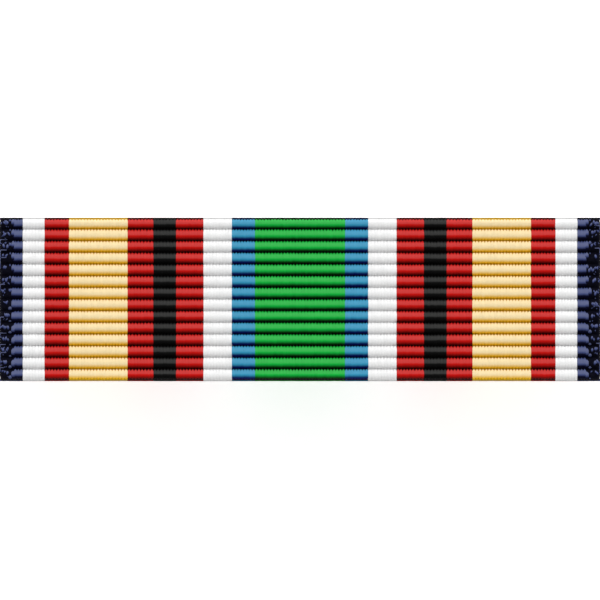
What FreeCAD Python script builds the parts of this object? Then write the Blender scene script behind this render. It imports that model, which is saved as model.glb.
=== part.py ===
# Ribbon bar: a striped, cross-ribbed ribbon wrapped round a thin brass bar, with a pin behind.
#
# Frame: +X along the bar, to the right as it is worn; +Y up as it is worn; +Z out of the face.
# The origin is under the middle of the bar, in the plane that the pin's two lugs stand on when
# the bar lies face up. All sizes are millimetres.

import FreeCAD, Part
import os
import Sketcher

os.makedirs("parts", exist_ok=True)
doc = FreeCAD.newDocument("ribbon_bar")


# Driving dimensions

SIZES = {
    # the ribbon, as wide as a service ribbon is woven, and the bar's height with it round
    "ribbon_width": 34.925,
    "ribbon_height": 9.525,
    "ribbon_wall": 1.0,
    # each rib is a cord of weft under the warp: a round of this radius
    "rib_radius": 0.36,
    # ribs across the face, corner ribs included
    "face_ribs": 14,
    # ribs on the top or bottom edge between two corner ribs
    "side_ribs": 2,
    # ribs on each flap behind, corner rib included
    "flap_ribs": 5,
    # how far a flap's cut end stays inside its last rib's round
    "flap_inset": 0.02,
    # play between the cloth and the metal that it lies on
    "cloth_play": 0.05,
    # the brass bar, a little short of the ribbon's two selvedges
    "bar_length": 34.5,
    "bar_thickness": 0.6,
    # two rivets fasten the pin's strip to the bar between the flaps
    "rivet_diameter": 1.5,
    "rivet_spacing": 16.0,
    "rivet_play": 0.05,
    # the pin's strip, over the ends of the flaps
    "strip_length": 29.0,
    "strip_width": 4.6,
    "strip_thickness": 0.4,
    # the pin wire, the room for cloth between it and the strip, and its height off the table
    "wire_diameter": 0.8,
    "wire_room": 1.15,
    "wire_lift": 0.45,
    "wire_length": 26.2,
    "point_length": 3.0,
    "point_diameter": 0.1,
    # the hinge lug at the -X end: two ears, the wire's rolled eye between them and a rivet
    "hinge_offset": 12.0,
    "hinge_length": 3.0,
    "hinge_width": 4.0,
    "ear_thickness": 0.6,
    "eye_diameter": 1.7,
    "hinge_rivet_diameter": 0.8,
    "hinge_rivet_length": 4.5,
    # the catch at the +X end: a strap bent into a hook under the wire, open on its +Y side
    "catch_offset": 12.0,
    "catch_length": 2.4,
    "catch_width": 4.0,
    "catch_wall": 0.4,
    "catch_lip": 1.35,
    # the outside round of the catch's two bends, and the round of the ears' lower corners
    "bend_radius": 0.7,
    "ear_radius": 0.9,
}

sheet = doc.addObject("Spreadsheet::Sheet", "sizes")
for row, (name, value) in enumerate(SIZES.items(), start=1):
    sheet.set(f"A{row}", name)
    sheet.set(f"B{row}", str(value))
    sheet.setAlias(f"B{row}", name)
doc.recompute()

# Sizes worked out from the sheet, as expressions that the features are bound to
STRIP_BOTTOM = "(sizes.wire_lift + sizes.wire_diameter + sizes.wire_room)"
STRIP_TOP = f"({STRIP_BOTTOM} + sizes.strip_thickness)"
WIRE_LEVEL = "(sizes.wire_lift + sizes.wire_diameter / 2)"
WRAP_DEPTH = "(2 * sizes.ribbon_wall + 2 * sizes.cloth_play + sizes.bar_thickness)"
BAR_HEIGHT = "(sizes.ribbon_height - 2 * sizes.ribbon_wall - 2 * sizes.cloth_play)"
# height of the bar's middle plane above the table
BAR_LEVEL = f"({STRIP_TOP} + sizes.cloth_play + {WRAP_DEPTH} / 2)"
# the rib rounds have their centres on a rectangle of this height and depth
CENTRES_HEIGHT = "(sizes.ribbon_height - 2 * sizes.rib_radius)"
CENTRES_DEPTH = f"({WRAP_DEPTH} - 2 * sizes.rib_radius)"
RIB_PITCH = f"({CENTRES_HEIGHT} / (sizes.face_ribs - 1))"
SIDE_PITCH = f"({CENTRES_DEPTH} / (sizes.side_ribs + 1))"
FLAP_RUN = f"({RIB_PITCH} * (sizes.flap_ribs - 1))"
# the gap between the two flaps' cut ends
FLAP_GAP = f"({CENTRES_HEIGHT} - 2 * {FLAP_RUN} - 2 * (sizes.rib_radius - sizes.flap_inset))"


# Two places nearer than this are one place
NEAR = 1e-4


# Helpers: bodies, sketches and features

def body_at(label, height=None):
    """A body with its own label, raised to a height given as an expression."""
    body = doc.addObject("PartDesign::Body", label)
    body.Label = label
    body.Placement = FreeCAD.Placement()
    if height:
        body.setExpression("Placement.Base.z", height)
    return body


def origin_feature(body, role):
    """One of the body's own origin planes or axes, found by its role."""
    for feature in body.Origin.OriginFeatures:
        if feature.Role == role:
            return feature
    raise ValueError(role)


def sketch_on(body, name, role, offset=None):
    """A sketch on one of the body's origin planes, moved along the plane's normal."""
    sketch = body.newObject("Sketcher::SketchObject", name)
    sketch.AttachmentSupport = [(origin_feature(body, role), "")]
    sketch.MapMode = "FlatFace"
    if offset:
        sketch.setExpression("AttachmentOffset.Base.z", offset)
    return sketch


def measure(expression):
    """The number that an expression gives now."""
    return float(sheet.evalExpression(expression.replace("sizes.", "")))


def bind(sketch, name, kind, where, expression):
    """Add one named dimension to a sketch and bind it to the sheet."""
    index = sketch.addConstraint(Sketcher.Constraint(kind, *where, measure(expression)))
    sketch.renameConstraint(index, name)
    sketch.setExpression(f"Constraints.{name}", expression)


def place_point(sketch, name, geometry, end, across, up):
    """Hold one point of a sketch at two coordinates, each an expression."""
    bind(sketch, f"{name}_across", "DistanceX", (-1, 1, geometry, end), across)
    bind(sketch, f"{name}_up", "DistanceY", (-1, 1, geometry, end), up)


def add_outline(sketch, corners):
    """A closed outline of straight lines through corners that are pairs of expressions."""
    start = sketch.GeometryCount
    spots = [FreeCAD.Vector(measure(across), measure(up), 0) for across, up in corners]
    count = len(spots)
    for i in range(count):
        sketch.addGeometry(Part.LineSegment(spots[i], spots[(i + 1) % count]), False)
    for i in range(count):
        sketch.addConstraint(Sketcher.Constraint("Coincident", start + i, 2, start + (i + 1) % count, 1))
    for i, (across, up) in enumerate(corners):
        place_point(sketch, f"corner{start + i}", start + i, 1, across, up)


def add_rectangle(sketch, across, up, width, height):
    """A rectangle round a centre, all four given as expressions."""
    left, right = f"{across} - {width} / 2", f"{across} + {width} / 2"
    low, high = f"{up} - {height} / 2", f"{up} + {height} / 2"
    add_outline(sketch, [(left, low), (right, low), (right, high), (left, high)])


def add_circle(sketch, across, up, radius):
    """A circle whose centre and radius are expressions."""
    index = sketch.addGeometry(Part.Circle(FreeCAD.Vector(), FreeCAD.Vector(0, 0, 1), 1), False)
    place_point(sketch, f"centre{index}", index, 3, across, up)
    bind(sketch, f"radius{index}", "Radius", (index,), radius)


def add_slot(sketch, length, width):
    """A slot round the sketch's origin, its straight sides along the sketch's first axis."""
    reach = measure(f"({length} - ({width})) / 2")
    radius = measure(f"({width}) / 2")
    start = sketch.GeometryCount
    for side in (1, -1):
        begin = FreeCAD.Vector(side * reach, -side * radius, 0)
        middle = FreeCAD.Vector(side * (reach + radius), 0, 0)
        finish = FreeCAD.Vector(side * reach, side * radius, 0)
        sketch.addGeometry(Part.LineSegment(FreeCAD.Vector(-side * reach, -side * radius, 0), begin), False)
        sketch.addGeometry(Part.Arc(begin, middle, finish), False)
    for i in range(4):
        sketch.addConstraint(Sketcher.Constraint("Tangent", start + i, 2, start + (i + 1) % 4, 1))
    right, left = start + 1, start + 3
    sketch.addConstraint(Sketcher.Constraint("Equal", right, left))
    place_point(sketch, "right_centre", right, 3, f"({length} - ({width})) / 2", "0")
    place_point(sketch, "left_centre", left, 3, f"-({length} - ({width})) / 2", "0")
    bind(sketch, "round", "Radius", (right,), f"({width}) / 2")


def pad(body, name, sketch, length, middle=False):
    """Raise a sketch into a solid, from its plane or to both sides of it."""
    feature = body.newObject("PartDesign::Pad", name)
    feature.Profile = sketch
    feature.SideType = "Symmetric" if middle else "One side"
    feature.setExpression("Length", length)
    body.Tip = feature
    return feature


def round_edges(body, name, radius, middles):
    """Round the straight edges whose middles are given as points of three expressions."""
    doc.recompute()
    base = body.Tip
    spots = [FreeCAD.Vector(*[measure(value) for value in middle]) for middle in middles]
    names = []
    for number, edge in enumerate(body.Shape.Edges, start=1):
        for spot in spots:
            if edge.CenterOfMass.distanceToPoint(spot) < NEAR:
                names.append(f"Edge{number}")
    if len(names) != len(middles):
        raise RuntimeError(f"{name} finds {len(names)} edges for {len(middles)}")
    fillet = body.newObject("PartDesign::Fillet", name)
    fillet.Base = (base, names)
    fillet.setExpression("Radius", radius)
    body.Tip = fillet


def cut_through(body, name, sketch):
    """Cut a sketch through the whole body, to both sides of its plane."""
    doc.recompute()
    before = body.Shape.Volume
    feature = body.newObject("PartDesign::Pocket", name)
    feature.Profile = sketch
    feature.Type = "ThroughAll"
    feature.SideType = "Symmetric"
    body.Tip = feature
    doc.recompute()
    if body.Shape.Volume >= before:
        raise RuntimeError(f"{name} cuts nothing")
    return feature


def repeat(body, name, feature, axis, run, count, mirror_plane=None):
    """A straight row of copies of a feature, mirrored too where a plane is named."""
    row = body.newObject("PartDesign::LinearPattern", f"{name}_row")
    row.Direction = (origin_feature(body, axis), [""])
    row.Mode = "Extent"
    row.setExpression("Length", run)
    row.setExpression("Occurrences", count)
    if mirror_plane is None:
        row.Originals = [feature]
        body.Tip = row
        return row
    mirror = body.newObject("PartDesign::Mirrored", f"{name}_mirror")
    mirror.MirrorPlane = (origin_feature(body, mirror_plane), [""])
    both = body.newObject("PartDesign::MultiTransform", f"{name}_both")
    both.Originals = [feature]
    both.Transformations = [row, mirror]
    body.Tip = both
    return both


# The ribbon: a flat-sided wrap of cloth, open behind and at its two selvedges

def make_ribbon():
    body = body_at("ribbon", BAR_LEVEL)
    outline = sketch_on(body, "wrap_section", "YZ_Plane")
    add_rectangle(outline, "0", "0", CENTRES_HEIGHT, CENTRES_DEPTH)
    pad(body, "wrap", outline, "sizes.ribbon_width", middle=True)

    # the room for the bar has round long sides, as the bar has
    room = sketch_on(body, "bar_room_section", "YZ_Plane")
    add_slot(room, f"{BAR_HEIGHT} + 2 * sizes.cloth_play", "sizes.bar_thickness + 2 * sizes.cloth_play")
    cut_through(body, "bar_room", room)

    # between the flaps the back is open down to that room
    gap = sketch_on(body, "flap_gap_section", "YZ_Plane")
    add_rectangle(gap, "0", f"-{WRAP_DEPTH} / 2", FLAP_GAP, WRAP_DEPTH)
    cut_through(body, "flap_gap", gap)

    # one round cord for each rib: the face's row, the two edges' rows and the two flaps' rows
    top, side = f"{CENTRES_DEPTH} / 2", f"-{CENTRES_HEIGHT} / 2"
    add_ribs(body, "face_rib", side, top, "Y_Axis", CENTRES_HEIGHT, "sizes.face_ribs")
    add_ribs(body, "side_rib", side, f"-{top} + {SIDE_PITCH}", "Z_Axis",
             f"{SIDE_PITCH} * (sizes.side_ribs - 1)", "sizes.side_ribs", mirror_plane="XZ_Plane")
    add_ribs(body, "flap_rib", side, f"-{top}", "Y_Axis", FLAP_RUN, "sizes.flap_ribs",
             mirror_plane="XZ_Plane")
    return body


def add_ribs(body, name, across, up, axis, run, count, mirror_plane=None):
    """A row of ribs along an axis from the first one's centre."""
    section = sketch_on(body, f"{name}_section", "YZ_Plane")
    add_circle(section, across, up, "sizes.rib_radius")
    first = pad(body, name, section, "sizes.ribbon_width", middle=True)
    repeat(body, name, first, axis, run, count, mirror_plane)


# The bar: flat brass with round long edges and two rivet holes

def make_backing_bar():
    body = body_at("backing_bar", BAR_LEVEL)
    section = sketch_on(body, "bar_section", "YZ_Plane")
    add_slot(section, BAR_HEIGHT, "sizes.bar_thickness")
    pad(body, "bar", section, "sizes.bar_length", middle=True)
    holes = sketch_on(body, "rivet_holes", "XY_Plane")
    for side in ("-", ""):
        add_circle(holes, f"{side}sizes.rivet_spacing / 2", "0",
                   "sizes.rivet_diameter / 2 + sizes.rivet_play")
    cut_through(body, "rivet_holes_cut", holes)
    return body


# The pin: one soldered piece of strip, rivet shanks, hinge lug, catch and wire

def make_pin_back():
    body = body_at("pin_back")
    strip = sketch_on(body, "strip_outline", "XY_Plane", STRIP_BOTTOM)
    add_slot(strip, "sizes.strip_length", "sizes.strip_width")
    pad(body, "strip", strip, "sizes.strip_thickness")

    # the shanks end level with the bar's face, under the ribbon
    shanks = sketch_on(body, "shank_circles", "XY_Plane", STRIP_BOTTOM)
    for side in ("-", ""):
        add_circle(shanks, f"{side}sizes.rivet_spacing / 2", "0", "sizes.rivet_diameter / 2")
    pad(body, "shanks", shanks, f"{BAR_LEVEL} + sizes.bar_thickness / 2 - {STRIP_BOTTOM}")

    add_hinge(body)
    add_catch(body)
    add_wire(body)
    return body


def add_hinge(body):
    """Two ears under the strip with the wire's rolled eye between them, riveted through."""
    ears = sketch_on(body, "ear_outlines", "XY_Plane")
    for side in ("-", ""):
        add_rectangle(ears, "-sizes.hinge_offset",
                      f"{side}(sizes.hinge_width - sizes.ear_thickness) / 2",
                      "sizes.hinge_length", "sizes.ear_thickness")
    pad(body, "ears", ears, STRIP_TOP)
    corners = []
    for end in ("-", "+"):
        for side in ("-", ""):
            corners.append((f"-sizes.hinge_offset {end} sizes.hinge_length / 2",
                            f"{side}(sizes.hinge_width - sizes.ear_thickness) / 2", "0"))
    round_edges(body, "ear_rounds", "sizes.ear_radius", corners)
    rivet = sketch_on(body, "hinge_rivet_circle", "XZ_Plane")
    add_circle(rivet, "-sizes.hinge_offset", WIRE_LEVEL, "sizes.hinge_rivet_diameter / 2")
    pad(body, "hinge_rivet", rivet, "sizes.hinge_rivet_length", middle=True)
    eye = sketch_on(body, "eye_circle", "XZ_Plane")
    add_circle(eye, "-sizes.hinge_offset", WIRE_LEVEL, "sizes.eye_diameter / 2")
    pad(body, "eye", eye, "sizes.hinge_width - sizes.ear_thickness", middle=True)


def add_catch(body):
    """A strap down from the strip, across under the wire and up again to a short lip."""
    hook = sketch_on(body, "catch_section", "YZ_Plane", "sizes.catch_offset - sizes.catch_length / 2")
    outer, inner = "sizes.catch_width / 2", "(sizes.catch_width / 2 - sizes.catch_wall)"
    add_outline(hook, [
        (f"-{outer}", STRIP_TOP),
        (f"-{outer}", "0"),
        (outer, "0"),
        (outer, "sizes.catch_lip"),
        (inner, "sizes.catch_lip"),
        (inner, "sizes.catch_wall"),
        (f"-{inner}", "sizes.catch_wall"),
        (f"-{inner}", STRIP_TOP),
    ])
    pad(body, "catch", hook, "sizes.catch_length")
    middle = "sizes.catch_offset"
    round_edges(body, "catch_bends", "sizes.bend_radius",
                [(middle, f"-{outer}", "0"), (middle, outer, "0")])
    round_edges(body, "catch_bends_inside", "sizes.bend_radius - sizes.catch_wall",
                [(middle, f"-{inner}", "sizes.catch_wall"), (middle, inner, "sizes.catch_wall")])


def add_wire(body):
    """The pin's wire, from the hinge's eye through the catch to a sharp point."""
    start = "-sizes.hinge_offset"
    tip = f"{start} + sizes.wire_length"
    half = sketch_on(body, "wire_half_section", "XZ_Plane")
    add_outline(half, [
        (start, WIRE_LEVEL),
        (tip, WIRE_LEVEL),
        (tip, f"{WIRE_LEVEL} + sizes.point_diameter / 2"),
        (f"{tip} - sizes.point_length", f"{WIRE_LEVEL} + sizes.wire_diameter / 2"),
        (start, f"{WIRE_LEVEL} + sizes.wire_diameter / 2"),
    ])
    turn = body.newObject("PartDesign::Revolution", "wire")
    turn.Profile = half
    turn.ReferenceAxis = (half, ["Edge1"])
    turn.Angle = 360
    body.Tip = turn


# Build, check and write

pieces = [make_ribbon(), make_backing_bar(), make_pin_back()]
doc.recompute()
for item in doc.Objects:
    if "Invalid" in item.State or "Error" in item.State:
        raise RuntimeError(f"{item.Name} failed: {item.State}")
for piece in pieces:
    solid = piece.Shape
    if solid.isNull() or not solid.isValid() or len(solid.Solids) != 1:
        raise RuntimeError(f"{piece.Label} is not one sound solid")
    solid.exportStep(f"parts/{piece.Label}.step")
    box = solid.BoundBox
    print(f"{piece.Label}: volume {solid.Volume:.2f}, x {box.XMin:.3f} to {box.XMax:.3f}, "
          f"y {box.YMin:.3f} to {box.YMax:.3f}, z {box.ZMin:.3f} to {box.ZMax:.3f}")
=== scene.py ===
# %% [markdown]
# # A ribbon bar: striped cloth over brass
#
# A ribbon bar is the small strip that stands for a medal on everyday dress. A short length of
# cross-ribbed silk ribbon is wrapped round a thin brass bar, and a pin behind goes through the coat.
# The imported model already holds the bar, the pin and a plain ribbed wrap of cloth, all at real size.
# This notebook dresses them. The cloth is woven again, thread by thread, because at this size the
# threads are what the eye sees, and the two metals get their finish.

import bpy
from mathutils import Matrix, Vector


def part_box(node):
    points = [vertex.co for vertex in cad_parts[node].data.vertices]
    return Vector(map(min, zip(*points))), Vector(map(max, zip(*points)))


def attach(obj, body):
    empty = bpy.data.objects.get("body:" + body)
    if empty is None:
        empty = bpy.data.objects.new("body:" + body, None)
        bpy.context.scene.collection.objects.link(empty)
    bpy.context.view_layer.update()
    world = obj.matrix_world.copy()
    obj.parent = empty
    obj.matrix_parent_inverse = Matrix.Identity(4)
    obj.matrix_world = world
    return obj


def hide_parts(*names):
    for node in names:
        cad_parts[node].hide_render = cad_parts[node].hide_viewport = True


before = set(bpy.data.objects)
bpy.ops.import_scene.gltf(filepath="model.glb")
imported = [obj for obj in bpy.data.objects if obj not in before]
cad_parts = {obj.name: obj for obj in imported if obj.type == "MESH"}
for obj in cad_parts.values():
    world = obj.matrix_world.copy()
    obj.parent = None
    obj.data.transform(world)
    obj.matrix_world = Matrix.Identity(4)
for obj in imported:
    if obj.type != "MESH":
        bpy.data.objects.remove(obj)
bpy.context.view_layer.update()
print("nodes:", sorted(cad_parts))

# %% Tools and the unit
import math

import bpy
import numpy as np

# Blender works in metres. Sizes of cloth are easier to read in millimetres.
MM = 0.001

# %% [markdown]
# ## The room that the cloth has
#
# The wrap's height, width and depth are read from the frame and never typed again, so the woven
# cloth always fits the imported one. The ribs are counted from the photograph: fourteen across the
# face. On the real ribbon each rib is a thick cord of weft, so it is a round with a radius.

# %% Sizes of the wrap
low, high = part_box("ribbon")
WIDTH = high.x - low.x
HEIGHT = high.y - low.y
DEPTH = high.z - low.z
LEVEL = (high.z + low.z) / 2

RIB_RADIUS = 0.36 * MM
FACE_RIBS = 14
SIDE_RIBS = 2
FLAP_RIBS = 5
WALL = 1.0 * MM

CORNER_Y = HEIGHT / 2 - RIB_RADIUS
CORNER_Z = DEPTH / 2 - RIB_RADIUS
FACE_PITCH = 2 * CORNER_Y / (FACE_RIBS - 1)
SIDE_PITCH = 2 * CORNER_Z / (SIDE_RIBS + 1)
print(f"wrap {WIDTH / MM:.3f} x {HEIGHT / MM:.3f} x {DEPTH / MM:.2f} mm, "
      f"rib pitch {FACE_PITCH / MM:.3f} mm on the face")

# %% [markdown]
# ## Where the threads run
#
# A warp thread comes from behind, over the top edge, down the face and behind again. It arches over
# every rib and dives into the groove after it. Each arch is a "float". One list of floats describes
# the whole way round: the rib's centre, and the angles at which the thread comes up and goes down.
# Angles are measured from straight out of the face, positive towards the top edge. Cloth folds
# between two ribs more easily than on one, so each corner rib carries two short floats with a
# crease between them. The lower half of the list is the upper half in a mirror.

# %% List the floats
FACE_HALF = math.degrees(math.asin(FACE_PITCH / 2 / RIB_RADIUS))
SIDE_HALF = math.degrees(math.asin(SIDE_PITCH / 2 / RIB_RADIUS))
CREASE_INNER = 50.0
CREASE_OUTER = 72.0
CUT_ANGLE = 268.0


def way_round():
    """Rows of (y, z, first angle, last angle, first end in a groove, last end in a groove)."""
    rows = []
    for k in range(FLAP_RIBS - 1, 0, -1):
        at_cut = k == FLAP_RIBS - 1
        rows.append((CORNER_Y - k * FACE_PITCH, -CORNER_Z, CUT_ANGLE if at_cut else 180 + FACE_HALF,
                     180 - FACE_HALF, not at_cut, True))
    rows.append((CORNER_Y, -CORNER_Z, 180 + FACE_HALF, 180 - CREASE_INNER, True, False))
    rows.append((CORNER_Y, -CORNER_Z, 180 - CREASE_OUTER, 90 - SIDE_HALF, False, True))
    for k in range(1, SIDE_RIBS + 1):
        rows.append((CORNER_Y, -CORNER_Z + k * SIDE_PITCH, 90 + SIDE_HALF, 90 - SIDE_HALF, True, True))
    rows.append((CORNER_Y, CORNER_Z, 90 + SIDE_HALF, CREASE_OUTER, True, False))
    rows.append((CORNER_Y, CORNER_Z, CREASE_INNER, -FACE_HALF, False, True))
    for k in range(1, FACE_RIBS // 2):
        rows.append((CORNER_Y - k * FACE_PITCH, CORNER_Z, FACE_HALF, -FACE_HALF, True, True))
    mirror = [(-y, z, -last, -first, b, a) for y, z, first, last, a, b in reversed(rows)]
    return np.array(rows + mirror, float)


WAY = way_round()
print(len(WAY), "floats on each thread")

# %% [markdown]
# ## The stripes
#
# The stripes are the ribbon's pattern, and warp threads make them: a stripe is so many threads of
# one colour side by side. The table goes from the edge to the middle, in millimetres. The other
# half is the same in a mirror, as on most service ribbons.

# %% Stripe table
STRIPES = [
    ("navy", 1.36),
    ("white", 1.27),
    ("red", 1.42),
    ("gold", 3.41),
    ("red", 1.50),
    ("black", 1.32),
    ("red", 1.59),
    ("white", 1.66),
    ("light_blue", 1.34),
    ("green", 5.24),
]
THREAD_PITCH = 0.178 * MM


def stripe_spans():
    """(colour, left, right) of every stripe across the ribbon, scaled to fill its width exactly."""
    widths = STRIPES + STRIPES[-2::-1]
    scale = WIDTH / sum(width for _, width in widths)
    spans, x = [], -WIDTH / 2
    for colour, width in widths:
        spans.append((colour, x, x + width * scale))
        x += width * scale
    return spans


SPANS = stripe_spans()
COLOURS = sorted({colour for colour, _, _ in SPANS})
print(len(SPANS), "stripes in", len(COLOURS), "colours")

# %% [markdown]
# ## From arrays to a mesh
#
# Thousands of threads are too many to make one by one, so each stripe colour becomes one joined
# mesh, worked out with numpy and handed to Blender in one go. A second set of numbers travels with
# every point: how far across the thread it is, how far along, and a number of its own for each
# float. The materials use them for twist and for small differences of shade.

# %% Mesh helper
def joined_mesh(name, points, faces, thread=None, material_of_face=None):
    """An object at the origin, from an array of points and a list of arrays of faces."""
    mesh = bpy.data.meshes.new(name)
    corners = np.concatenate([f.ravel() for f in faces])
    sides = np.concatenate([np.full(len(f), f.shape[1]) for f in faces])
    starts = np.concatenate([[0], np.cumsum(sides)[:-1]])
    mesh.vertices.add(len(points))
    mesh.vertices.foreach_set("co", np.asarray(points, np.float32).ravel())
    mesh.loops.add(len(corners))
    mesh.loops.foreach_set("vertex_index", corners.astype(np.int32))
    mesh.polygons.add(len(sides))
    mesh.polygons.foreach_set("loop_start", starts.astype(np.int32))
    if material_of_face is not None:
        mesh.polygons.foreach_set("material_index", np.asarray(material_of_face, np.int32))
    mesh.update(calc_edges=True)
    mesh.validate()
    mesh.shade_smooth()
    if thread is not None:
        attribute = mesh.attributes.new("thread", "FLOAT_VECTOR", "POINT")
        attribute.data.foreach_set("vector", np.asarray(thread, np.float32).ravel())
    obj = bpy.data.objects.new(name, mesh)
    bpy.context.scene.collection.objects.link(obj)
    return obj


def triangles_of(obj):
    return sum(len(p.vertices) - 2 for p in obj.data.polygons)


# %% [markdown]
# ## The ground cloth
#
# Under the floats lies the body of the cloth: the weft cords and the dark depths between threads.
# It could be left out, but then light would fall through the gaps. It is one closed sheet with a
# real thickness: for each point of the ribbed outside there is one on the smooth inside, next to
# the bar. Towards the two woven edges the sheet rounds off, as a selvedge does.

# %% Section of the ground cloth
GROUND_RADIUS = 0.32 * MM
ARC_STEPS = 8
# share of each arc that is left out at either end
ARC_MARGIN = 0.03
ROOM_RADIUS = DEPTH / 2 - WALL
ROOM_CENTRE = HEIGHT / 2 - WALL - ROOM_RADIUS


def on_round(y, z, angle, radius):
    """The point at an angle on a rib's round, as (y, z) in metres."""
    return y + radius * math.sin(math.radians(angle)), z + radius * math.cos(math.radians(angle))


def room_point(y, z):
    """The point of the smooth inside that lies nearest to a point of the outside."""
    if abs(y) <= ROOM_CENTRE:
        return y, math.copysign(ROOM_RADIUS, z)
    centre = math.copysign(ROOM_CENTRE, y)
    length = math.hypot(y - centre, z)
    return centre + (y - centre) / length * ROOM_RADIUS, z / length * ROOM_RADIUS


OUTSIDE = np.array([on_round(y, z, first + (last - first) * t, GROUND_RADIUS)
                    for y, z, first, last, _, _ in WAY
                    for t in np.linspace(ARC_MARGIN, 1 - ARC_MARGIN, ARC_STEPS)])
INSIDE = np.array([room_point(y, z) for y, z in OUTSIDE])
print(len(OUTSIDE), "points round the section")

# %% Sweep it from selvedge to selvedge
SELVEDGE_ROUND = 0.22 * MM
ROUND_STEPS = 5
THINNEST = 0.25
LONGEST_PIECE = 1.3 * MM


def stations():
    """(x, share of full thickness, colour) along the ribbon, rounded off at both ends."""
    rounded = []
    for i in range(ROUND_STEPS):
        turn = i / ROUND_STEPS * math.pi / 2
        rounded.append((-WIDTH / 2 + SELVEDGE_ROUND * (1 - math.cos(turn)),
                        THINNEST + (1 - THINNEST) * math.sin(turn), SPANS[0][0]))
    rows = list(rounded)
    for colour, left, right in SPANS:
        begin = max(left, SELVEDGE_ROUND - WIDTH / 2)
        end = min(right, WIDTH / 2 - SELVEDGE_ROUND)
        pieces = max(1, round((right - left) / LONGEST_PIECE))
        rows += [(begin + (end - begin) * k / pieces, 1.0, colour) for k in range(pieces)]
    rows.append((WIDTH / 2 - SELVEDGE_ROUND, 1.0, SPANS[-1][0]))
    return rows + [(-x, share, colour) for x, share, colour in reversed(rounded)]


def ground_cloth():
    """The sheet as one closed mesh, with the stripe's material on each face."""
    rows = stations()
    middle = (OUTSIDE + INSIDE) / 2
    ring = len(OUTSIDE)
    points = []
    for x, share, _ in rows:
        for side in (OUTSIDE, INSIDE):
            yz = middle + (side - middle) * share
            points.append(np.column_stack([np.full(ring, x), yz[:, 0], yz[:, 1] + LEVEL]))
    i = np.arange(ring - 1)
    faces, materials = [], []
    for s in range(len(rows) - 1):
        a, b = 2 * ring * s, 2 * ring * (s + 1)
        outer = np.column_stack([a + i, a + i + 1, b + i + 1, b + i])
        inner = np.column_stack([a + ring + i, b + ring + i, b + ring + i + 1, a + ring + i + 1])
        ends = np.array([[a, b, b + ring, a + ring],
                         [a + ring - 1, a + 2 * ring - 1, b + 2 * ring - 1, b + ring - 1]])
        faces.append(np.concatenate([outer, inner, ends]))
        materials += [COLOURS.index(rows[s][2])] * len(faces[-1])
    for s in (0, len(rows) - 1):
        a = 2 * ring * s
        cap = np.column_stack([a + i, a + ring + i, a + ring + i + 1, a + i + 1])
        faces.append(cap if s == 0 else cap[:, ::-1])
        materials += [COLOURS.index(rows[s][2])] * len(cap)
    return joined_mesh("ribbon_ground", np.concatenate(points), [np.concatenate(faces)],
                       material_of_face=materials)


ground = ground_cloth()
print("ground cloth:", triangles_of(ground), "triangles")

# %% [markdown]
# ## The warp floats
#
# A float is a grain of twisted yarn: flat and wide where it lies on the rib, pointed at both ends
# where it squeezes down between its neighbours. Those points give every rib its saw-toothed edge.
# The loom packs each rib hard against the last one, so the first end of a float does not sink into
# the groove but bridges it and leans on the rib before. All floats of a colour are bent, tapered
# and placed at once.

# %% Shape of a float
FLOAT_STATIONS = 8
# share of the half turn over which the rings are spread that is left to either tip
END_MARGIN = 0.06
FLOAT_THICK = 0.030 * MM
FLOAT_WIDTH = 1.22
TIP_WIDTH = 0.07
TIP_DIVE = 0.012 * MM
FIRST_TOOTH = 16.0
LAST_TOOTH = 26.0
LAP_TURN = 8.0
LAP_SPAN = 24.0
LAP_RISE = 0.075 * MM
LAP_POWER = 1.5

# accidents of weaving, as spreads: sideways, in depth, in width, and in degrees at both ends
STRAY = 0.003 * MM
SINK = 0.003 * MM
WIDTH_SPREAD = 0.02
FIRST_SPREAD = 1.0
LAST_SPREAD = 1.5

# six points over the visible side of the yarn and one beneath, rounder or squarer by the power
SECTION_ANGLES = np.radians([0, 36, 72, 108, 144, 180, 270])
SECTION_POWER = 0.6
SECTION_ACROSS = np.sign(np.cos(SECTION_ANGLES)) * np.abs(np.cos(SECTION_ANGLES)) ** SECTION_POWER
SECTION_UP = np.sign(np.sin(SECTION_ANGLES)) * np.abs(np.sin(SECTION_ANGLES)) ** SECTION_POWER


def float_faces(count, rings, per):
    """Quads along the yarn and fans at both tips, for many floats of the same build."""
    i, j = np.meshgrid(np.arange(rings - 1), np.arange(per), indexing="ij")
    a, b = i * per + j, i * per + (j + 1) % per
    quads = np.stack([a, b, b + per, a + per], -1).reshape(-1, 4)
    block, k, last = rings * per + 2, np.arange(per), (rings - 1) * per
    fans = np.concatenate([
        np.column_stack([np.full(per, block - 2), (k + 1) % per, k]),
        np.column_stack([np.full(per, block - 1), last + k, last + (k + 1) % per])])
    offset = (np.arange(count) * block)[:, None, None]
    return [(quads[None] + offset).reshape(-1, 4), (fans[None] + offset).reshape(-1, 3)]


print(len(SECTION_ANGLES), "points round a float,", FLOAT_STATIONS, "rings along it")

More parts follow.
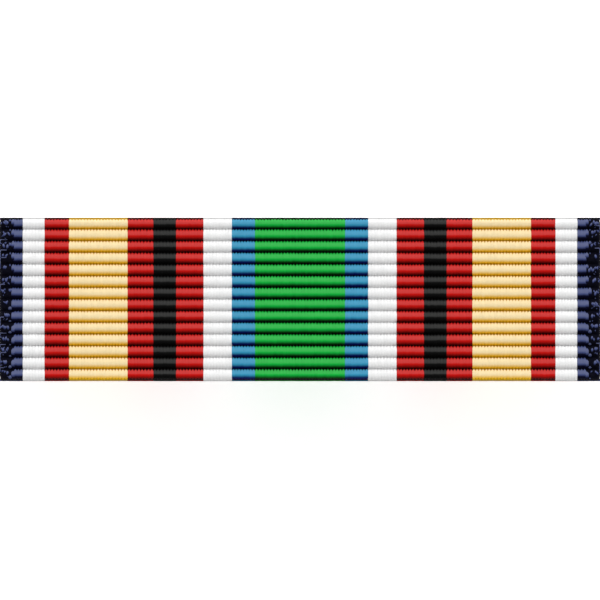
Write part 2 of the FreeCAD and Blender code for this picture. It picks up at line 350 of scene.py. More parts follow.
# %% Bend, taper and place many floats
def floats(specs, rng, fullness=1.0):
    """Points, faces and thread numbers. A row of specs is x at both ends, then a row of WAY."""
    count = len(specs)
    x_first, x_last, y, z, first, last, first_in_groove, _ = specs.T
    sideways = rng.normal(0, STRAY, count)
    sunk = np.abs(rng.normal(0, SINK, count))
    width = (FLOAT_WIDTH + rng.normal(0, WIDTH_SPREAD, count)) * fullness
    first = first - LAP_TURN * first_in_groove + rng.normal(0, FIRST_SPREAD, count)
    last = last + rng.normal(0, LAST_SPREAD, count)

    # stations lie closer together towards both ends, where the yarn narrows
    t = 0.5 - 0.5 * np.cos(np.pi * np.linspace(END_MARGIN, 1 - END_MARGIN, FLOAT_STATIONS))
    angle = first[:, None] + (last - first)[:, None] * t
    from_first, from_last = first[:, None] - angle, angle - last[:, None]
    taper = np.clip(np.minimum(from_first / FIRST_TOOTH, from_last / LAST_TOOTH), 0, 1)
    taper = TIP_WIDTH + (1 - TIP_WIDTH) * taper
    lap = np.clip(1 - from_first / LAP_SPAN, 0, 1) ** LAP_POWER * first_in_groove[:, None]
    radius = RIB_RADIUS - FLOAT_THICK - sunk[:, None] - TIP_DIVE * (1 - taper) + LAP_RISE * lap
    half_width = taper * width[:, None] * THREAD_PITCH / 2
    half_thick = FLOAT_THICK * (0.5 + 0.5 * taper)
    along_x = (x_first + sideways)[:, None] + (x_last - x_first)[:, None] * t

    turn = np.radians(angle)[..., None]
    out = radius[..., None] + half_thick[..., None] * SECTION_UP
    rings = np.stack([along_x[..., None] + half_width[..., None] * SECTION_ACROSS,
                      y[:, None, None] + out * np.sin(turn),
                      LEVEL + z[:, None, None] + out * np.cos(turn)], -1)
    tips = []
    for end, tip_angle in ((0, first), (-1, last)):
        turn = np.radians(tip_angle)
        tips.append(np.stack([along_x[:, end], y + radius[:, end] * np.sin(turn),
                              LEVEL + z + radius[:, end] * np.cos(turn)], -1)[:, None])
    points = np.concatenate([rings.reshape(count, -1, 3)] + tips, 1)

    per = len(SECTION_ANGLES)
    length = np.radians(np.abs(last - first)) * RIB_RADIUS / THREAD_PITCH
    thread = np.zeros(points.shape)
    thread[:, :-2, 0] = np.tile(SECTION_ACROSS * 0.5 + 0.5, FLOAT_STATIONS)
    thread[:, :-2, 1] = np.repeat(t - 0.5, per)[None, :] * length[:, None]
    thread[:, -2:, 0] = 0.5
    thread[:, -2, 1], thread[:, -1, 1] = -length / 2, length / 2
    thread[:, :, 2] = rng.random(count)[:, None]
    faces = float_faces(count, FLOAT_STATIONS, per)
    return points.reshape(-1, 3), faces, thread.reshape(-1, 3)


# %% Weave the threads of each colour
def columns_of(left, right):
    """Middles of the threads that fill a stripe evenly."""
    count = round((right - left) / THREAD_PITCH)
    return left + (np.arange(count) + 0.5) * (right - left) / count


def straight_specs(columns):
    """Every column of thread over every float of the way round."""
    x = np.repeat(columns, len(WAY))
    return np.column_stack([x, x, np.tile(WAY, (len(columns), 1))])


warps = {}
for number, colour in enumerate(COLOURS):
    if colour == "navy":
        continue
    columns = np.concatenate([columns_of(left, right) for name, left, right in SPANS if name == colour])
    warps[colour] = joined_mesh(f"warp_{colour}", *floats(straight_specs(columns),
                                                          np.random.default_rng(number)))
    print(f"warp_{colour}: {len(columns)} threads, {triangles_of(warps[colour])} triangles")

# %% [markdown]
# ## The selvedge
#
# At the woven edges order breaks down. The weft turns back there and tugs at the last threads, so
# the outer navy threads wander, dip under and come up again. In the photograph each navy rib has
# a regular patch next to the white stripe with a slanting end, then a dark gap, then a smaller
# patch and a few stray flecks. The patch and the gap lean one way on the top ribs and the other way
# on the bottom ones. Loose threads are laid as two half-thick strands that drift sideways.

# %% Chart the loose threads
LOOSE_THREADS = 5
PATCH_END = 0.71 * MM
PATCH_SHIFT = 0.17 * MM
PATCH_LEAN = 0.36 * MM
SHORTEST_END = 0.15
STRANDS = (-0.25, 0.25)
STRAND_FULLNESS = 0.62
STRAND_DRIFT = 0.08 * MM
# chance that a strand dips under for the whole rib, and its shortest and longest share of the rib
OUTERMOST = (0.45, 0.12, 0.26)
OTHERS = (0.20, 0.24, 0.46)
COMES_UP_AGAIN = 0.3
# how much the patch's lean and end differ from rib to rib
LEAN_SPREAD = 0.10
END_SPREAD = 0.03 * MM
# shares of the rib: the latest start on a rib and of a strand, the gap and the length of a second strand
LATEST_ON_RIB = 0.16
LATEST_STRAND = 0.22
SECOND_GAP = (0.02, 0.12)
SECOND_LENGTH = (0.12, 0.2)


def clipped(row, begin, end):
    """A float of the way round, cut down to the part between two shares of its length."""
    y, z, first, last, in_first, in_last = row
    return (y, z, first + (last - first) * begin, first + (last - first) * end,
            in_first if begin == 0 else 0, in_last if end == 1 else 0)


def inner_patch(x, column, row, end_at_top, lean):
    """The part of a thread that lies inside the regular patch's slanting end, if there is any."""
    crossing = min(max((column - end_at_top) / lean, 0), 1)
    begin, end = (0, crossing) if lean > 0 else (crossing, 1)
    return [(x, x, *clipped(row, begin, end))] if end - begin > SHORTEST_END else []


# angles from straight out of the face between which a float looks up or down the coat
SIDEWAYS = (55, 125)


def sideways_rib(row):
    """True for a float that looks up or down the coat: there the edge threads lie in order."""
    return SIDEWAYS[0] < abs((row[2] + row[3]) / 2) < SIDEWAYS[1]


def loose_specs(side, rng):
    """Floats of the loose threads at one selvedge. side is -1 on the left and 1 on the right."""
    specs = []
    for row in WAY:
        slope = math.tanh(row[0] / MM)
        lean = PATCH_LEAN * (slope + LEAN_SPREAD * rng.normal())
        end_at_top = PATCH_END - PATCH_SHIFT * slope + rng.normal(0, END_SPREAD)
        begin_at = rng.uniform(0, LATEST_ON_RIB)
        for number in range(LOOSE_THREADS):
            column = (number + 0.5) * THREAD_PITCH
            x = side * (WIDTH / 2 - column)
            inner = [] if sideways_rib(row) else inner_patch(x, column, row, end_at_top, lean)
            specs += inner
            if sideways_rib(row):
                specs.append((x, x, *row))
                continue
            if inner or number == LOOSE_THREADS - 1:
                continue
            dips, shortest, longest = OUTERMOST if number == 0 else OTHERS
            for strand in STRANDS:
                if rng.random() < dips:
                    continue
                begin = begin_at + rng.uniform(0, LATEST_STRAND)
                length = rng.uniform(shortest, longest)
                middle = x + strand * THREAD_PITCH
                drift = rng.normal(0, STRAND_DRIFT)
                specs.append((middle, middle - side * drift, *clipped(row, begin, begin + length)))
                if rng.random() < COMES_UP_AGAIN:
                    again = begin + length + rng.uniform(*SECOND_GAP)
                    ends = again + rng.uniform(*SECOND_LENGTH)
                    specs.append((middle, middle + side * drift, *clipped(row, again, ends)))
    return np.array(specs)


def navy_warp(rng):
    """The navy stripes: ordered threads inside, loose ones along the edge."""
    ordered = np.concatenate([columns_of(left, right) for name, left, right in SPANS if name == "navy"])
    ordered = ordered[np.abs(ordered) < WIDTH / 2 - LOOSE_THREADS * THREAD_PITCH]
    specs = [straight_specs(ordered)] + [loose_specs(side, rng) for side in (-1, 1)]
    specs = np.concatenate(specs)
    drifting = specs[:, 0] != specs[:, 1]
    return joined_mesh("warp_navy", *floats(specs, rng, np.where(drifting, STRAND_FULLNESS, 1.0)))


warps["navy"] = navy_warp(np.random.default_rng(40))
print(f"warp_navy: {triangles_of(warps['navy'])} triangles")

# %% Turns of the weft at the edge
TURN_REACH = 0.42 * MM
TURN_RADIUS = 0.028 * MM
TURN_STEPS = 14
TURN_SIDES = 6
TURN_DEPTH = 1.6 * TURN_RADIUS
TURN_INSET = 1.5 * TURN_RADIUS
TURN_SAG = 0.10 * MM
TURNS_LEFT_OUT = 0.4
SHORTEST_REACH = 0.5
# the twist's place along a filament, in thread widths, from end to end
TURN_ALONG = (-1.5, 1.5)
# angles on the rib, from its top, between which a filament leaves it, and in a mirror returns
TURN_ANGLES = (-60, 20)
# how sharply a filament rounds the edge, and how quickly it crosses to the next rib
BEND_POWER = 2.2
CROSSING_SPEED = 2.2


def turn_points(side, row, following, rng):
    """A weft filament that leaves one rib, rounds the edge and goes back along the next."""
    reach = TURN_REACH * rng.uniform(SHORTEST_REACH, 1)
    leaves = rng.uniform(*TURN_ANGLES)
    returns = rng.uniform(-TURN_ANGLES[1], -TURN_ANGLES[0])
    top = (row[2] + row[3]) / 2, (following[2] + following[3]) / 2
    radius = RIB_RADIUS - TURN_DEPTH
    points = []
    for t in np.linspace(-1, 1, TURN_STEPS):
        inset = TURN_INSET + reach * abs(t) ** BEND_POWER
        share = 0.5 + 0.5 * math.sin(min(max(t * CROSSING_SPEED, -1), 1) * math.pi / 2)
        a = on_round(row[0], row[1], top[0] + leaves, radius)
        b = on_round(following[0], following[1], top[1] + returns, radius)
        sag = TURN_SAG * math.sin(share * math.pi) * math.cos(math.radians(top[0]))
        points.append((side * (WIDTH / 2 - inset), a[0] + (b[0] - a[0]) * share,
                       LEVEL + a[1] + (b[1] - a[1]) * share - sag))
    return np.array(points)


# a direction that no filament follows, to start the tube's cross section from
NEVER_ALONG = (0.37, 0.21, 0.9)


def tube(points, radius, sides):
    """Points and faces of a closed tube along a line of points."""
    ahead = np.gradient(points, axis=0)
    ahead /= np.linalg.norm(ahead, axis=1)[:, None]
    side = np.cross(ahead, NEVER_ALONG)
    side /= np.linalg.norm(side, axis=1)[:, None]
    up = np.cross(side, ahead)
    turn = 2 * np.pi * np.arange(sides) / sides
    ring = (np.cos(turn)[:, None, None] * side + np.sin(turn)[:, None, None] * up) * radius
    skin = (points[None] + ring).transpose(1, 0, 2).reshape(-1, 3)
    skin = np.concatenate([skin, points[:1], points[-1:]])
    return skin, float_faces(1, len(points), sides)


def selvedge_turns(rng):
    """One turn of weft at most of the grooves, on both edges, as a joined mesh."""
    points, quads, fans, thread, total = [], [], [], [], 0
    for side in (-1, 1):
        for row, following in zip(WAY[:-1], WAY[1:]):
            if not row[5] or rng.random() < TURNS_LEFT_OUT:
                continue
            skin, (q, f) = tube(turn_points(side, row, following, rng), TURN_RADIUS, TURN_SIDES)
            numbers = np.zeros(skin.shape)
            numbers[:-2, 0] = np.tile(np.arange(TURN_SIDES) / TURN_SIDES, TURN_STEPS)
            numbers[:-2, 1] = np.repeat(np.linspace(*TURN_ALONG, TURN_STEPS), TURN_SIDES)
            numbers[:, 2] = rng.random()
            points.append(skin)
            quads.append(q + total)
            fans.append(f + total)
            thread.append(numbers)
            total += len(skin)
    return joined_mesh("selvedge_turns", np.concatenate(points),
                       [np.concatenate(quads), np.concatenate(fans)], np.concatenate(thread))


turns = selvedge_turns(np.random.default_rng(41))
print(f"selvedge_turns: {triangles_of(turns)} triangles")

# %% [markdown]
# ## Yarn
#
# Ribbon yarn is dyed silk or rayon: a strong colour with a soft pale gleam on its lit side, here
# partly from the gloss and partly a painted highlight. Four effects are laid on the dye. Threads
# differ a little in shade. The twist of the yarn runs across each float as faint slanting lines. The
# upper, lit half of each float on the face is painted paler, a painted highlight, and its lower half
# and first tip turn to a deep colour, painted shade. The two long folds are darkened, painted shade.
# Each effect is a node group, built once and placed in every yarn with its own values.

# %% Node helpers
def new_group(name, inputs, outputs):
    """An empty shader node group with float or colour sockets, and its two end nodes."""
    group = bpy.data.node_groups.new(name, "ShaderNodeTree")
    for label, kind, value in inputs:
        socket = group.interface.new_socket(label, in_out="INPUT", socket_type=kind)
        socket.default_value = value
    for label, kind in outputs:
        group.interface.new_socket(label, in_out="OUTPUT", socket_type=kind)
    return group, group.nodes.new("NodeGroupInput"), group.nodes.new("NodeGroupOutput")


def math_node(tree, operation, first, second=None, third=None):
    """A Math node whose inputs are sockets or plain numbers. Gives its output socket."""
    node = tree.nodes.new("ShaderNodeMath")
    node.operation = operation
    for slot, value in enumerate((first, second, third)):
        if value is None:
            continue
        if isinstance(value, (int, float)):
            node.inputs[slot].default_value = value
        else:
            tree.links.new(value, node.inputs[slot])
    return node.outputs[0]


def noise(tree, scale, detail=2.0):
    """Noise over the object's own coordinates. Gives its factor socket."""
    where = tree.nodes.new("ShaderNodeTexCoord")
    node = tree.nodes.new("ShaderNodeTexNoise")
    node.inputs["Scale"].default_value = scale
    node.inputs["Detail"].default_value = detail
    tree.links.new(where.outputs["Object"], node.inputs["Vector"])
    return node.outputs["Fac"]


def map_range(tree, value, from_low, from_high, to_low, to_high, smooth=False):
    """A clamped Map Range, straight or eased at both ends. Gives its output socket."""
    node = tree.nodes.new("ShaderNodeMapRange")
    node.interpolation_type = "SMOOTHSTEP" if smooth else "LINEAR"
    tree.links.new(value, node.inputs["Value"])
    for label, number in (("From Min", from_low), ("From Max", from_high),
                          ("To Min", to_low), ("To Max", to_high)):
        node.inputs[label].default_value = number
    return node.outputs["Result"]


def mixed(tree, factor, first, second):
    """One colour turned into another by a factor. Gives the mixed colour's socket."""
    node = tree.nodes.new("ShaderNodeMix")
    node.data_type = "RGBA"
    # the node has sockets for numbers and vectors too, so those for colours are picked by kind
    before, after = [socket for socket in node.inputs if socket.type == "RGBA"]
    tree.links.new(factor, node.inputs["Factor"])
    tree.links.new(first, before)
    tree.links.new(second, after)
    return next(socket for socket in node.outputs if socket.type == "RGBA")


def brightened(tree, colour, factor):
    """A colour made lighter or darker by a factor."""
    node = tree.nodes.new("ShaderNodeHueSaturation")
    tree.links.new(factor, node.inputs["Value"])
    tree.links.new(colour, node.inputs["Color"])
    return node.outputs["Color"]


def place_on_object(tree):
    """The object's own coordinates, as three sockets X, Y and Z."""
    where = tree.nodes.new("ShaderNodeTexCoord")
    parts = tree.nodes.new("ShaderNodeSeparateXYZ")
    tree.links.new(where.outputs["Object"], parts.inputs[0])
    return parts.outputs


# %% Group: twist of the yarn
def twist_group():
    """Slanting ridges across a thread. Height rises and falls once for each turn of the ply."""
    group, given, result = new_group(
        "yarn twist",
        [("Across", "NodeSocketFloat", 0.0), ("Along", "NodeSocketFloat", 0.0),
         ("Turns", "NodeSocketFloat", 1.0), ("Slant", "NodeSocketFloat", 1.0)],
        [("Height", "NodeSocketFloat")])
    slanted = math_node(group, "MULTIPLY_ADD", given.outputs["Across"], given.outputs["Slant"],
                        math_node(group, "MULTIPLY", given.outputs["Along"], given.outputs["Turns"]))
    wave = math_node(group, "SINE", math_node(group, "MULTIPLY", slanted, 2 * math.pi))
    group.links.new(math_node(group, "MULTIPLY_ADD", wave, 0.5, 0.5), result.inputs["Height"])
    return group


TWIST = twist_group()
print("group:", TWIST.name)

# %% Group: shade of each thread
CLOUD_SCALE = 900
FLECK_SCALE = 11000
FLECK_WEIGHT = 4


def shade_group():
    """Dye takes a little differently on each float, and in clouds and flecks along the ribbon."""
    group, given, result = new_group(
        "thread shade",
        [("Colour", "NodeSocketColor", (1, 1, 1, 1)), ("Own", "NodeSocketFloat", 0.5),
         ("Spread", "NodeSocketFloat", 0.1)],
        [("Colour", "NodeSocketColor")])
    flecks = math_node(group, "MULTIPLY", noise(group, FLECK_SCALE), FLECK_WEIGHT)
    uneven = math_node(group, "ADD", given.outputs["Own"], noise(group, CLOUD_SCALE, 3))
    uneven = math_node(group, "ADD", uneven, flecks)
    # the float's own number, the clouds and the flecks are each 0.5 on average
    centred = math_node(group, "SUBTRACT", uneven, 0.5 + 0.5 + 0.5 * FLECK_WEIGHT)
    factor = math_node(group, "MULTIPLY_ADD", centred, given.outputs["Spread"], 1.0)
    group.links.new(brightened(group, given.outputs["Colour"], factor), result.inputs["Colour"])
    return group


SHADE = shade_group()
print("group:", SHADE.name)

# %% Group: painted highlight and painted shade on the floats
# places along a float, in thread widths from its middle, negative towards the upper, lit end on the face:
# where each change begins and ends
# painted highlight: where the paler colour over the upper, lit half of a float rises and falls
PALE_FROM = (-2.15, -1.3)
PALE_TO = (-0.5, 0.15)
# painted shade at the first, upper tip of a float
FIRST_TIP_SHADE = (-1.8, -2.6)
# where the painted shade, the deep colour over the lower half of a float, begins and ends, as shares of a
# yarn's own reach
LOWER_HALF_SHADE = (-0.1, 1.0)


def highlight_and_shade_group():
    """Painted highlight, a paler colour on the upper, lit half of a float, and painted shade, the
    stripe's deep colour on its lower half and first tip.
    """
    group, given, result = new_group(
        "rubbed and shaded",
        [("Colour", "NodeSocketColor", (1, 1, 1, 1)), ("Pale", "NodeSocketColor", (1, 1, 1, 1)),
         ("Deep", "NodeSocketColor", (0, 0, 0, 1)), ("Along", "NodeSocketFloat", 0.0),
         ("Rubbed", "NodeSocketFloat", 0.04), ("Reach", "NodeSocketFloat", 1.8)],
        [("Colour", "NodeSocketColor")])
    along = given.outputs["Along"]
    # painted highlight mask over the upper, lit half of the float
    rises = map_range(group, along, *PALE_FROM, 0, 1, smooth=True)
    falls = map_range(group, along, *PALE_TO, 1, 0, smooth=True)
    crest = math_node(group, "MULTIPLY", rises, falls)
    depth = math_node(group, "DIVIDE", along, given.outputs["Reach"])
    # painted shade mask: the deep colour on the lower half of the float and at its first tip
    sunk = map_range(group, depth, *LOWER_HALF_SHADE, 0, 1, smooth=True)
    first_end = map_range(group, along, *FIRST_TIP_SHADE, 0, 1, smooth=True)
    sunk = math_node(group, "MAXIMUM", sunk, first_end)
    # painted shade first, then the painted highlight over it
    colour = given.outputs["Colour"]
    pale = math_node(group, "MULTIPLY", crest, given.outputs["Rubbed"])
    for factor, towards in ((sunk, "Deep"), (pale, "Pale")):
        colour = mixed(group, factor, colour, given.outputs[towards])
    group.links.new(colour, result.inputs["Colour"])
    return group


HIGHLIGHT_AND_SHADE = highlight_and_shade_group()
print("group:", HIGHLIGHT_AND_SHADE.name)

# %% Group: painted shade along the folds
FOLD_REACH = 0.20 * MM
FOLD_SOFTNESS = 0.18 * MM
LOWER_SHARE = 0.5


def fold_group():
    """Painted shade: a darker colour along the two long folds, and more on the upper one."""
    group, given, result = new_group(
        "soiled folds",
        [("Colour", "NodeSocketColor", (1, 1, 1, 1)), ("Amount", "NodeSocketFloat", 0.5)],
        [("Colour", "NodeSocketColor")])
    at = place_on_object(group)
    inner = HEIGHT / 2 - FOLD_REACH
    outer = inner + FOLD_SOFTNESS
    # painted shade, stronger on the upper fold than on the lower
    upper = map_range(group, at["Y"], inner, outer, 0, 1, smooth=True)
    lower = map_range(group, at["Y"], -inner, -outer, 0, LOWER_SHARE, smooth=True)
    # only where the cloth turns, next to the face and next to the flaps, and not on the ribs between
    off_middle = math_node(group, "ABSOLUTE", math_node(group, "SUBTRACT", at["Z"], LEVEL))
    begins = CORNER_Z - RIB_RADIUS
    turned = map_range(group, off_middle, begins, begins + FOLD_SOFTNESS, 0, 1)
    darkened = math_node(group, "MULTIPLY", math_node(group, "ADD", upper, lower), turned)
    darkened = math_node(group, "MULTIPLY", darkened, given.outputs["Amount"])
    kept = math_node(group, "SUBTRACT", 1.0, darkened)
    group.links.new(brightened(group, given.outputs["Colour"], kept), result.inputs["Colour"])
    return group


FOLDS = fold_group()
print("group:", FOLDS.name)

# %% Yarn material
# how strongly the folds are darkened, painted shade
FOLD_SHADE_AMOUNT = 0.58
TWIST_TURNS = 1.5
TWIST_SLANT = 1.0
TWIST_DEPTH = 0.004 * MM
FIBRE_SCALE = 9000
# colour of the painted highlight
PALE = (0.85, 0.85, 0.83, 1)
YARN_ROUGHNESS = (0.47, 0.62)
YARN_GLOSS = 0.06
YARN_SPREAD = 0.05


def new_material(name, **values):
    """A material, its node tree and its shader. In the inputs' names an underscore is a space."""
    material = bpy.data.materials.new(name)
    material.use_nodes = True
    shader = material.node_tree.nodes["Principled BSDF"]
    for label, value in values.items():
        shader.inputs[label.replace("_", " ")].default_value = value
    return material, material.node_tree, shader


def relief(tree, shader, height, distance):
    """A bump from a height, on the shader's normal."""
    bump = tree.nodes.new("ShaderNodeBump")
    bump.inputs["Distance"].default_value = distance
    tree.links.new(height, bump.inputs["Height"])
    tree.links.new(bump.outputs["Normal"], shader.inputs["Normal"])


def place(tree, group, **values):
    """A group node in a material, with its inputs set to numbers or colours, or linked to sockets."""
    node = tree.nodes.new("ShaderNodeGroup")
    node.node_tree = group
    for label, value in values.items():
        if isinstance(value, bpy.types.NodeSocket):
            tree.links.new(value, node.inputs[label])
        else:
            node.inputs[label].default_value = value
    return node.outputs[0]


def fibre_roughness(tree, least, most):
    """Roughness that differs a little from fibre to fibre."""
    return map_range(tree, noise(tree, FIBRE_SCALE), 0.3, 0.7, least, most)


def yarn(name, colour, deep, highlit, reach):
    """Dyed, twisted yarn, with a painted highlight and painted shade in its colour."""
    material, tree, shader = new_material(name, Specular_IOR_Level=YARN_GLOSS)
    carried = tree.nodes.new("ShaderNodeAttribute")
    carried.attribute_name = "thread"
    parts = tree.nodes.new("ShaderNodeSeparateXYZ")
    tree.links.new(carried.outputs["Vector"], parts.inputs[0])

    dyed = place(tree, SHADE, Colour=colour, Own=parts.outputs["Z"], Spread=YARN_SPREAD)
    # painted highlight and painted shade are mixed into the dye here
    highlit_and_shaded = place(tree, HIGHLIGHT_AND_SHADE, Colour=dyed, Pale=PALE, Deep=deep, Along=parts.outputs["Y"],
                 Rubbed=highlit, Reach=reach)
    tree.links.new(place(tree, FOLDS, Colour=highlit_and_shaded, Amount=FOLD_SHADE_AMOUNT), shader.inputs["Base Color"])
    tree.links.new(fibre_roughness(tree, *YARN_ROUGHNESS), shader.inputs["Roughness"])
    ply = place(tree, TWIST, Across=parts.outputs["X"], Along=parts.outputs["Y"],
                Turns=TWIST_TURNS, Slant=TWIST_SLANT)
    relief(tree, shader, ply, TWIST_DEPTH)
    return material


# %% Dye lots
# each yarn: dye on the crest, the deep colour of the painted shade in the grooves and on the lower half
# of each float (for white, lighter than the dye), how much painted highlight, and how far along the float
# the painted shade is reached, in thread widths from its middle
YARNS = {
    "navy": ((0.052, 0.070, 0.190, 1), (0.001, 0.001, 0.014, 1), 0.06, 0.8),
    "white": ((0.86, 0.86, 0.86, 1), (0.95, 0.95, 0.95, 1), 0.0, 2.0),
    "red": ((0.55, 0.005, 0.003, 1), (0.12, 0.001, 0.001, 1), 0.042, 1.65),
    "gold": ((0.88, 0.71, 0.41, 1), (1.00, 0.55, 0.010, 1), 0.0, 1.5),
    "black": ((0.003, 0.003, 0.003, 1), (0.001, 0.001, 0.001, 1), 0.036, 0.9),
    "light_blue": ((0.032, 0.28, 0.47, 1), (0.001, 0.004, 0.10, 1), 0.042, 1.25),
    "green": ((0.004, 0.42, 0.045, 1), (0.001, 0.02, 0.001, 1), 0.040, 1.4),
}
for colour in COLOURS:
    warps[colour].data.materials.append(yarn(f"yarn {colour}", *YARNS[colour]))
turns.data.materials.append(warps["navy"].data.materials[0])
print("yarns:", ", ".join(COLOURS))

# %% [markdown]
# ## The body of the cloth
#
# What shows between the floats is painted shade: the stripe's deep colour darkened further, and for white
# and gold a lighter colour of its own, painted light bounced into the grooves. It is a plain close weave.
# Its inner side faces the brass bar and shows at the open ends. The weave is a small relief: a sine
# across and a sine along, one thread wide each way.

# %% Group: plain weave
WEFT_PITCH = 0.11 * MM


def weave_group():
    """The relief of a plain weave over the object's own coordinates."""
    group, given, result = new_group(
        "plain weave",
        [("Warp", "NodeSocketFloat", 1.0), ("Weft", "NodeSocketFloat", 1.0)],
        [("Height", "NodeSocketFloat")])
    at = place_on_object(group)
    round_bar = math_node(group, "ADD", at["Y"], at["Z"])
    warp_turn = math_node(group, "MULTIPLY", at["X"], given.outputs["Warp"])
    weft_turn = math_node(group, "MULTIPLY", round_bar, given.outputs["Weft"])
    checks = math_node(group, "MULTIPLY", math_node(group, "SINE", warp_turn),
                       math_node(group, "SINE", weft_turn))
    group.links.new(math_node(group, "MULTIPLY_ADD", checks, 0.5, 0.5), result.inputs["Height"])
    return group


WEAVE = weave_group()
print("group:", WEAVE.name)

# %% Ground cloth material
# ground colours of the two pale yarns, painted light bounced into the grooves; the others take a share of
# their deep colour as painted shade
GROUND_GOLD = (0.64, 0.37, 0.012, 1)
GROUND_WHITE = (0.92, 0.92, 0.92, 1)
GROUND_SHADE_SHARE = 0.35
GROUND_ROUGHNESS = (0.75, 0.95)
GROUND_GLOSS = 0.1
GROUND_SPREAD = 0.1
WEAVE_DEPTH = 0.012 * MM


def cloth_body(name, colour):
    """Matt woven cloth, coloured as painted shade between the floats."""
    material, tree, shader = new_material(name, Specular_IOR_Level=GROUND_GLOSS)
    dyed = place(tree, SHADE, Colour=colour, Own=0.5, Spread=GROUND_SPREAD)
    tree.links.new(place(tree, FOLDS, Colour=dyed, Amount=FOLD_SHADE_AMOUNT), shader.inputs["Base Color"])
    tree.links.new(fibre_roughness(tree, *GROUND_ROUGHNESS), shader.inputs["Roughness"])
    weave = place(tree, WEAVE, Warp=math.pi / THREAD_PITCH, Weft=math.pi / WEFT_PITCH)
    relief(tree, shader, weave, WEAVE_DEPTH)
    return material


def ground_shade_colour(colour):
    """Painted shade: darker than the yarn's deep colour; the two pale yarns have lighter ground colours
    of their own, painted light in the grooves.
    """
    if colour in ("white", "gold"):
        return GROUND_WHITE if colour == "white" else GROUND_GOLD
    red, green, blue, _ = YARNS[colour][1]
    return red * GROUND_SHADE_SHARE, green * GROUND_SHADE_SHARE, blue * GROUND_SHADE_SHARE, 1


for colour in COLOURS:
    ground.data.materials.append(cloth_body(f"ground {colour}", ground_shade_colour(colour)))
print(len(ground.data.materials), "ground materials")

# %% [markdown]
# ## Fasten the cloth to the frame
#
# On the real bar the cloth is glued down behind and pressed tight, so everything moves as one body.
# The new pieces ride on that body, and the ground cloth takes the place of the plain packed wrap.

for colour in COLOURS:
    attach(warps[colour], "root")
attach(turns, "root")
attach(ground, "root")
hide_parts("ribbon")
print(len(warps) + 2, "pieces ride on the body")

# %% [markdown]
# ## Metals
#
# The bar is rolled brass strip. Sealed in cloth it stays bright in the middle and browns a little
# in clouds. The pin, its strip, the hinge and the catch are nickelled steel: greyer, with fine
# scratches along the strip from years of being pinned on. Both metals use one node group for
# tarnish and scratches, each with its own colours and amounts.

# %% Group: tarnish and scratches
STAIN_SCALE = 420
SPECK_SCALE = 5200
SCRATCH_ALONG = 260
SCRATCH_ACROSS = 16000
# noise values at which clouds and specks begin and are full
CLOUDS = (0.42, 0.68)
SPECKS = (0.60, 0.72)
# how much tarnish and scratches add to the roughness
DULL_ROUGHNESS = 0.25
SCRATCH_ROUGHNESS = 0.12


def tarnish_group():
    """A metal colour with dull clouds, the roughness that goes with it, and scratches as a height."""
    group, given, result = new_group(
        "tarnish and scratches",
        [("Bright", "NodeSocketColor", (1, 1, 1, 1)), ("Dull", "NodeSocketColor", (0.2, 0.2, 0.2, 1)),
         ("Amount", "NodeSocketFloat", 0.5), ("Polish", "NodeSocketFloat", 0.3)],
        [("Colour", "NodeSocketColor"), ("Roughness", "NodeSocketFloat"),
         ("Scratches", "NodeSocketFloat")])
    clouds = map_range(group, noise(group, STAIN_SCALE, 5), *CLOUDS, 0, 1, smooth=True)
    specks = map_range(group, noise(group, SPECK_SCALE, 3), *SPECKS, 0, 1)
    stains = math_node(group, "MAXIMUM", clouds, specks)
    dull = math_node(group, "MULTIPLY", stains, given.outputs["Amount"])
    colour = mixed(group, dull, given.outputs["Bright"], given.outputs["Dull"])
    group.links.new(colour, result.inputs["Colour"])

    where = group.nodes.new("ShaderNodeTexCoord")
    stretch = group.nodes.new("ShaderNodeMapping")
    stretch.inputs["Scale"].default_value = (SCRATCH_ALONG, SCRATCH_ACROSS, SCRATCH_ACROSS)
    lines = group.nodes.new("ShaderNodeTexNoise")
    lines.inputs["Scale"].default_value = 1.0
    lines.inputs["Detail"].default_value = 2
    group.links.new(where.outputs["Object"], stretch.inputs["Vector"])
    group.links.new(stretch.outputs["Vector"], lines.inputs["Vector"])
    group.links.new(lines.outputs["Fac"], result.inputs["Scratches"])
    rough = math_node(group, "MULTIPLY_ADD", dull, DULL_ROUGHNESS, given.outputs["Polish"])
    rough = math_node(group, "MULTIPLY_ADD", lines.outputs["Fac"], SCRATCH_ROUGHNESS, rough)
    group.links.new(rough, result.inputs["Roughness"])
    return group


TARNISH = tarnish_group()
print("group:", TARNISH.name)

# %% Brass and nickelled steel
SCRATCH_DEPTH = 0.0015 * MM


def metal(name, bright, dull, amount, polish):
    """Worn metal with clouds of tarnish and scratches along the strip."""
    material, tree, shader = new_material(name, Metallic=1.0)
    node = place(tree, TARNISH, Bright=bright, Dull=dull, Amount=amount, Polish=polish).node
    tree.links.new(node.outputs["Colour"], shader.inputs["Base Color"])
    tree.links.new(node.outputs["Roughness"], shader.inputs["Roughness"])
    relief(tree, shader, node.outputs["Scratches"], SCRATCH_DEPTH)
    return material


FINISHES = {
    "backing_bar": metal("rolled brass", (0.78, 0.55, 0.22, 1), (0.30, 0.17, 0.06, 1), 0.55, 0.24),
    "pin_back": metal("nickelled steel", (0.66, 0.64, 0.59, 1), (0.33, 0.29, 0.22, 1), 0.45, 0.20),
}
for node, finish in FINISHES.items():
    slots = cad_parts[node].data.materials
    slots.clear()
    slots.append(finish)
print("finishes:", ", ".join(finish.name for finish in FINISHES.values()))

# %% [markdown]
# ## The studio
#
# The ribbon bar lies on the white floor of a light tent. The cloth of such a tent glows a little,
# which keeps the background white and the shadow faint, as in the picture. The floor runs out to a
# low wall, so that a view from the side still has something pale behind the object.

# %% Light tent
TENT_RADIUS = 2.5
WALL_RISE = 0.35
COVE = 0.15
COVE_STEPS = 6
AROUND = 96
TENT_GLOW = 0.58
TENT_CLOTH = (0.93, 0.93, 0.93, 1)
WHITE_LIGHT = (1, 1, 1, 1)


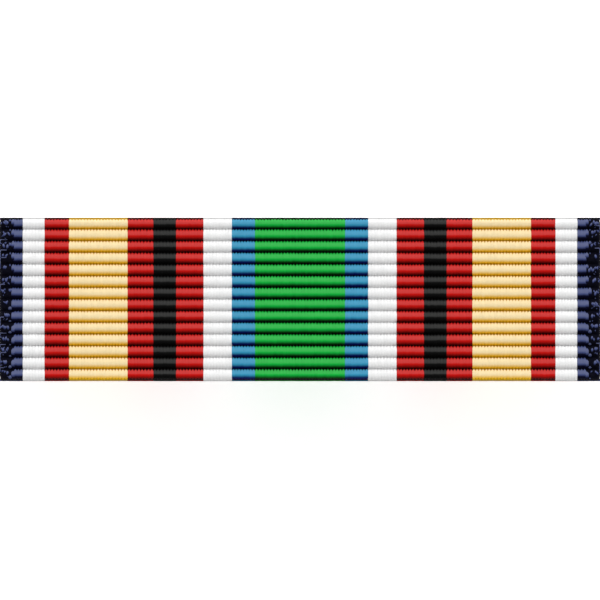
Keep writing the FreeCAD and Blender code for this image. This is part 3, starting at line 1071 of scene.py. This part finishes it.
def light_tent():
    """A round floor with a low wall, swept round the upright axis from a short profile."""
    profile = [(0.0, 0.0), (TENT_RADIUS - COVE, 0.0)]
    for k in range(1, COVE_STEPS + 1):
        turn = k / COVE_STEPS * math.pi / 2
        profile.append((TENT_RADIUS - COVE + COVE * math.sin(turn), COVE - COVE * math.cos(turn)))
    profile.append((TENT_RADIUS, WALL_RISE))
    turns_round = [2 * math.pi * k / AROUND for k in range(AROUND)]
    points = [(r * math.cos(turn), r * math.sin(turn), z) for r, z in profile[1:] for turn in turns_round]
    faces = [tuple(range(AROUND))]
    for i in range(len(profile) - 2):
        low_ring, high_ring = i * AROUND, (i + 1) * AROUND
        faces += [(low_ring + k, high_ring + k, high_ring + (k + 1) % AROUND, low_ring + (k + 1) % AROUND)
                  for k in range(AROUND)]
    mesh = bpy.data.meshes.new("floor")
    mesh.from_pydata(points, [], faces)
    mesh.shade_smooth()
    obj = bpy.data.objects.new("floor", mesh)
    bpy.context.scene.collection.objects.link(obj)
    return obj


floor = light_tent()
paper, _, _ = new_material("floor paper", Base_Color=TENT_CLOTH, Roughness=0.9,
                           Emission_Color=WHITE_LIGHT, Emission_Strength=TENT_GLOW)
floor.data.materials.append(paper)
print(f"light tent {2 * TENT_RADIUS:.1f} m across")

# %% Light
SKY_STRENGTH = 0.5
scene = bpy.context.scene
scene.view_settings.view_transform = "Standard"
world = bpy.data.worlds.new("studio")
scene.world = world
world.use_nodes = True
background = world.node_tree.nodes["Background"]
background.inputs["Color"].default_value = WHITE_LIGHT
background.inputs["Strength"].default_value = SKY_STRENGTH

KEY_ZENITH = 46.0
KEY_DISTANCE = 0.5
KEY_WATTS = 1.8
key = bpy.data.lights.new("key", "AREA")
key.shape = "RECTANGLE"
key.size = 0.30
key.size_y = 0.12
key.energy = KEY_WATTS
lamp = bpy.data.objects.new("key", key)
lamp.location = (0, KEY_DISTANCE * math.sin(math.radians(KEY_ZENITH)),
                 KEY_DISTANCE * math.cos(math.radians(KEY_ZENITH)))
lamp.rotation_euler = (-math.radians(KEY_ZENITH), 0, 0)
scene.collection.objects.link(lamp)
print(f"key light {KEY_DISTANCE} m away, {KEY_ZENITH:.0f} degrees from straight above")

# %% [markdown]
# ## The camera
#
# The picture looks straight at the face without any perspective, so the camera is far away and has
# a very long lens. The ribbon fills the picture's width, with a hair trimmed off either end.

# %% Camera
LENS = 800.0
SENSOR = 36.0
TRIM = 0.08 * MM
DROP = 0.036 * MM
camera = bpy.data.cameras.new("camera")
camera.lens = LENS
camera.sensor_width = SENSOR
camera.clip_start = 0.01
view = bpy.data.objects.new("camera", camera)
view.location = (0, -DROP, high.z + (WIDTH - TRIM) * LENS / SENSOR)
scene.collection.objects.link(view)
scene.camera = view
print(f"camera {view.location.z:.3f} m above the floor")
